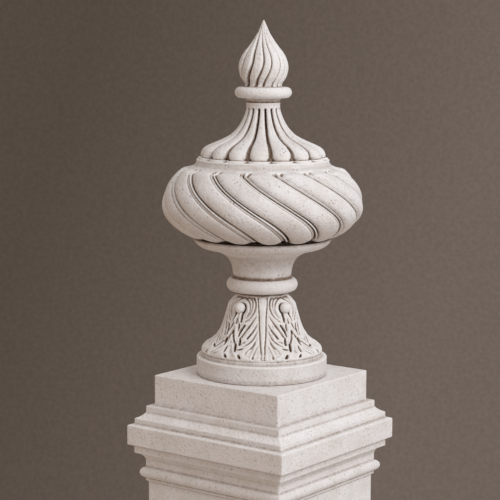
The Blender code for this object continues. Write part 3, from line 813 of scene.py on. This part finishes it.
# Dirt and painted shade all round, or below 0 rubbed bright with painted highlight: height and spread in mm,
# and amount.
# The shade is painted at the bed and under the body, leaves, ring and lobes; the highlight along the lit edges
# of base and band
dirtShadeAndHighlightRings = ((1, 2, 1.2), (18, 16, 0.25), (40.6, 1.2, -0.9), (42.4, 1.2, -0.5), (46.5, 4, 0.5),
              (51, 1.5, -0.5), (185.5, 4, 1), (221, 3, 0.9), (250, 24, 0.32), (306.8, 3.6, 1.1),
              (484.5, 1.2, -0.6), (612.5, 3, 0.9))
carvedHeights = ((54, 181), (312, 478), (490, 598))  # the leaves, the lobes and the petals


def makeFinial():
    zones = [baseZone(), footZone(), stemZone(), bodyZone(), bandZone(), petalZone(), collarZone(), flameZone()]
    mesh = joinedZones("finialStone", zones, berries())
    places = positions(mesh) / mm
    radius = np.maximum(np.hypot(places[:, 0], places[:, 1]), 1e-6)
    uneven = 0.25 * waves(places, 55, 1) + 0.12 * waves(places, 17, 2)
    steady = np.clip((places[:, 2] - finialBase - 3) / 6, 0, 1) * np.clip((finialTop - places[:, 2]) / 8, 0, 1)
    places[:, :2] *= (1 - np.abs(uneven) * steady / np.maximum(radius, 8))[:, None]
    setPositions(mesh, places * mm)
    height = places[:, 2] - seat
    dirtAndShade = sum(amount * np.exp(-((height - level) / spread) ** 2) for level, spread, amount in dirtShadeAndHighlightRings)
    measureHollows(mesh, 1.0, dirtAndShade + readEach(mesh.attributes["dirtAndShade"].data, "value"))
    piece = placeStone("finialStone", mesh, "finial", finialStone)
    carved = sum((height > low) & (height < high) for low, high in carvedHeights)
    piece.vertex_groups.new(name="carved").add(np.flatnonzero(carved).tolist(), 1.0, "REPLACE")
    thinned = piece.modifiers.new("thinned", "DECIMATE")  # fewer faces where the carving is nearly flat
    thinned.vertex_group = "carved"
    thinned.ratio = faceLimit / sum(len(polygon.vertices) - 2 for polygon in mesh.polygons)


makeFinial()
print("finial carved")


# The two square stones of the post, in mm from the underside of the lower one
square = {"perSide": 60, "corner": 2.5, "cornerSteps": 4}


def squareStone(name, outline, node, seamsAndShadeLines):
    # each turn of the outline becomes a square with small round corners; seams are dark joints and painted
    # shade lines under the mouldings, given as for the finial's rings
    perSide, cornerSteps = square["perSide"], square["cornerSteps"]
    perQuarter = perSide + cornerSteps
    columns = 4 * perQuarter
    mesh = spun(outline, columns)
    places = positions(mesh) / mm
    half = np.hypot(places[:, 0], places[:, 1])
    turn = np.arctan2(places[:, 1], places[:, 0])
    column = np.rint(turn / math.tau * columns).astype(int) % columns
    quarter, place = np.divmod(column, perQuarter)
    corner = np.minimum(square["corner"], half)
    straight = half - corner
    onSide = np.clip(place / perSide, 0, 1) * 2 - 1
    bend = np.clip((place - perSide) / cornerSteps, 0, 1) * math.pi / 2
    x = straight + corner * np.cos(bend)
    y = onSide * straight + corner * np.sin(bend)
    y = np.where(place > perSide, straight + corner * np.sin(bend), y)
    spin = quarter * math.pi / 2
    placed = np.stack([x * np.cos(spin) - y * np.sin(spin), x * np.sin(spin) + y * np.cos(spin), places[:, 2]],
                      axis=1)
    uneven = 0.16 * waves(placed, 90, 3) + 0.1 * waves(placed, 13, 4)
    placed[:, :2] *= (1 - np.abs(uneven) / np.maximum(half, 60))[:, None]
    setPositions(mesh, placed * mm)
    shape = bmesh.new()
    shape.from_mesh(mesh)
    bmesh.ops.remove_doubles(shape, verts=shape.verts, dist=1e-6)
    bmesh.ops.recalc_face_normals(shape, faces=shape.faces)
    shape.to_mesh(mesh)
    shape.free()
    mesh.shade_smooth()
    mesh.set_sharp_from_angle(angle=math.radians(40))
    height = positions(mesh)[:, 2] / mm
    seamDirtAndShade = sum(amount * np.exp(-((height - level) / spread) ** 2) for level, spread, amount in seamsAndShadeLines)
    measureHollows(mesh, 0.35, seamDirtAndShade)
    placeStone(name, mesh, node, postStone)


def rounded(outline, worn):
    # rounds each corner of an outline by about worn mm, with a point close by on each side to hold its dirt and
    # painted shade in
    points = np.array(outline, float)
    made = [tuple(points[0])]
    for before, here, after in zip(points, points[1:], points[2:]):
        inward, outward = before - here, after - here
        first, second = np.linalg.norm(inward), np.linalg.norm(outward)
        reach = min(worn, first * 0.45, second * 0.45)
        start, end = here + inward / first * reach, here + outward / second * reach
        bent = inward @ outward > -0.98 * first * second
        if bent and first > 3 * reach + 4:
            made.append(tuple(start + inward / first * 2))
        for share in np.linspace(0, 1, 4):
            made.append(tuple((1 - share) ** 2 * start + 2 * share * (1 - share) * here + share ** 2 * end))
        if bent and second > 3 * reach + 4:
            made.append(tuple(end + outward / second * 2))
    return made + [tuple(points[-1])]


# seams: height, spread and amount of each dark joint and painted shade line under a moulding
post = {"height": 161.7, "shaft": 182, "astragal": 196.75, "fascia": 186.5, "bed": 205,
        "seamsAndShadeLines": ((77, 2.5, 0.35), (84.7, 2.4, 0.6), (110.6, 2.4, 0.6), (128, 3, 0.2), (143, 2.5, 0.2),
                  (161.7, 3, 1.2))}
cap = {"bottom": 162, "top": 320, "corona": 216.2, "upper": 204.25, "lower": 186, "block": 172,
       "seamsAndShadeLines": ((162, 2, 0.4), (210.7, 2.4, 0.45), (235.7, 2.6, 0.35), (251.2, 2.4, 0.45))}


def makePostHead():
    shaft, fascia, bed, top = post["shaft"], post["fascia"], post["bed"], post["height"]
    outline = [(0, 0), (60, 0), (120, 0), (shaft, 0), (shaft, 20), (shaft, 40), (shaft, 58), (shaft, 76)]
    outline += [(fascia, 78), (fascia, 84.4)]
    outline += arcTo((fascia, 85), (fascia, 110), post["astragal"] - fascia, 12)
    outline += [(fascia, 111), (fascia, 118), (fascia, 127)]
    outline += arcTo((fascia, 127), (bed, 142.7), -4, 6)
    outline += [(bed, 149), (bed, 155), (bed, top)]
    outline = rounded(outline + [(120, top)], 1.4) + [(60, top), (0, top)]
    squareStone("postHeadStone", outline, "post_head", post["seamsAndShadeLines"])


def makeCapStone():
    low, top = cap["bottom"], cap["top"]
    corona, upper, lower, block = cap["corona"], cap["upper"], cap["lower"], cap["block"]
    outline = [(0, low), (60, low), (120, low), (corona, low), (corona, low + 15), (corona, low + 30)]
    outline += [(corona, low + 44.5), (upper, low + 48.7), (upper, low + 60.4)]
    outline += arcTo((upper, low + 60.4), (lower, low + 73.7), -2, 5)
    outline += [(lower, low + 80), (lower, low + 88.5), (block, low + 89.5), (block, low + 110)]
    outline += [(block, low + 135), (block, top)]
    outline = rounded(outline + [(140, top)], 2.2) + [(100, top), (50, top), (0, top)]
    squareStone("capStone", outline, "cap_stone", cap["seamsAndShadeLines"])


makePostHead()
makeCapStone()
print("post stones made")


studio = {
    "floorRadius": 0.262,  # m, so that the wall alone shows round the post, as in the photo
    "floor": "#d8d3cc",
    "backdropLeft": "#544941",
    "backdropRight": "#6f635b",
    "aroundLow": (0.37, 0.26, 0.18),  # light from below and the left, warmed by the wall
    "aroundHigh": (0.63, 0.63, 0.64),  # light from above and the right
    "keyPower": 53,
    "aim": (0, 0, 0.62),
}


def makeFloor():
    shape = bmesh.new()
    bmesh.ops.create_circle(shape, cap_ends=True, radius=studio["floorRadius"], segments=96)
    for corner in shape.verts:
        corner.co.z = -0.0002
    mesh = bpy.data.meshes.new("studioFloor")
    shape.to_mesh(mesh)
    shape.free()
    material = bpy.data.materials.new("matPlaster")
    material.use_nodes = True
    shader = material.node_tree.nodes["Principled BSDF"]
    shader.inputs["Base Color"].default_value = fromHex(studio["floor"])
    shader.inputs["Roughness"].default_value = 0.9
    mesh.materials.append(material)
    newObject("studioFloor", mesh)


# Angles in degrees, sizes in m; the lens is in mm on a 36 mm sensor
camera = {"azimuth": 36.71, "distance": 3.6882, "height": 1.0968, "pitch": 7.67, "yaw": -0.43, "roll": 0.30,
          "lens": 36 * 1658.7 / 500}


def turnedBy(degrees, vector):
    angle = math.radians(degrees)
    x, y, z = vector
    return np.array((x * math.cos(angle) - y * math.sin(angle), x * math.sin(angle) + y * math.cos(angle), z))


def posed(right, up, back, spot):  # the matrix of a camera or lamp with these axes, at that spot
    matrix = Matrix.Identity(4)
    for column, axis in enumerate((right, up, back, spot)):
        for row in range(3):
            matrix[row][column] = axis[row]
    return matrix


def makeCamera():
    pitch, yaw, roll = (math.radians(camera[key]) for key in ("pitch", "yaw", "roll"))
    ahead = np.array((math.sin(yaw) * math.cos(pitch), math.cos(yaw) * math.cos(pitch), -math.sin(pitch)))
    right = np.array((math.cos(yaw), -math.sin(yaw), 0))
    up = np.cross(right, ahead)
    rightSide = math.cos(roll) * right + math.sin(roll) * up
    upSide = -math.sin(roll) * right + math.cos(roll) * up
    spot = np.array((0, -camera["distance"], camera["height"]))
    axes = [turnedBy(camera["azimuth"], axis) for axis in (rightSide, upSide, -ahead, spot)]
    data = bpy.data.cameras.new("camera")
    data.sensor_width = 36
    data.lens = camera["lens"]
    bpy.context.scene.camera = newObject("camera", data)
    bpy.context.scene.camera.matrix_world = posed(*axes)


def softLight(name, side, rise, distance, size, power, tint):  # side in degrees to the right of the camera
    data = bpy.data.lights.new(name, "AREA")
    data.shape = "DISK"
    data.size = size
    data.energy = power
    data.color = tint
    side, rise = math.radians(side), math.radians(rise)
    away = (math.sin(side) * math.cos(rise), -math.cos(side) * math.cos(rise), math.sin(rise))
    away = turnedBy(camera["azimuth"], away)
    right = np.cross((0, 0, 1.0), away)
    right = right / np.linalg.norm(right)
    spot = np.array(studio["aim"]) + away * distance
    newObject(name, data).matrix_world = posed(right, np.cross(away, right), away, spot)


def makeWorld():  # soft light from all sides, and behind the stone a warm grey wall, lighter to the right with painted light
    world = bpy.data.worlds.new("backdrop")
    bpy.context.scene.world = world
    world.use_nodes = True
    tree = world.node_tree
    shade = tree.nodes["Background"]
    way = addNode(tree, "ShaderNodeTexCoord").outputs["Generated"]
    shares = []
    for towards, low, high in (((1, 0, -0.35), -0.1, 0.16), ((0.6, -0.2, 0.77), -0.9, 0.9)):
        settings = {"operation": "DOT_PRODUCT", 1: tuple(turnedBy(camera["azimuth"], towards))}
        facing = addNode(tree, "ShaderNodeVectorMath", settings, {0: way}).outputs["Value"]
        settings = {"From Min": low, "From Max": high}
        shares.append(addNode(tree, "ShaderNodeMapRange", settings, {"Value": facing}).outputs["Result"])
    toRight, upwards = shares
    weave = addNode(tree, "ShaderNodeTexNoise", {"Scale": 420, "Detail": 2}, {"Vector": way})
    settings = {"From Min": 0.3, "From Max": 0.7, "To Min": 0.93, "To Max": 1.07}
    tone = addNode(tree, "ShaderNodeMapRange", settings, {"Value": weave.outputs["Fac"]}).outputs["Result"]
    wall = addNode(tree, "ShaderNodeMix", {"data_type": "RGBA", 6: fromHex(studio["backdropLeft"]),
                                           7: fromHex(studio["backdropRight"])}, {0: toRight}).outputs[2]
    woven = addNode(tree, "ShaderNodeVectorMath", {"operation": "SCALE"}, {0: wall, "Scale": tone})
    around = addNode(tree, "ShaderNodeMix", {"data_type": "RGBA", 6: studio["aroundLow"] + (1,),
                                             7: studio["aroundHigh"] + (1,)}, {0: upwards}).outputs[2]
    seen = addNode(tree, "ShaderNodeLightPath").outputs["Is Camera Ray"]
    both = addNode(tree, "ShaderNodeMix", {"data_type": "RGBA"},
                   {0: seen, 6: around, 7: woven.outputs["Vector"]})
    tree.links.new(both.outputs[2], shade.inputs["Color"])


makeFloor()
makeCamera()
makeWorld()
softLight("keyLight", 38, 32, 3.2, 2.2, studio["keyPower"], (0.97, 0.99, 1.03))
bpy.context.scene.view_settings.view_transform = "Standard"
print("studio ready")
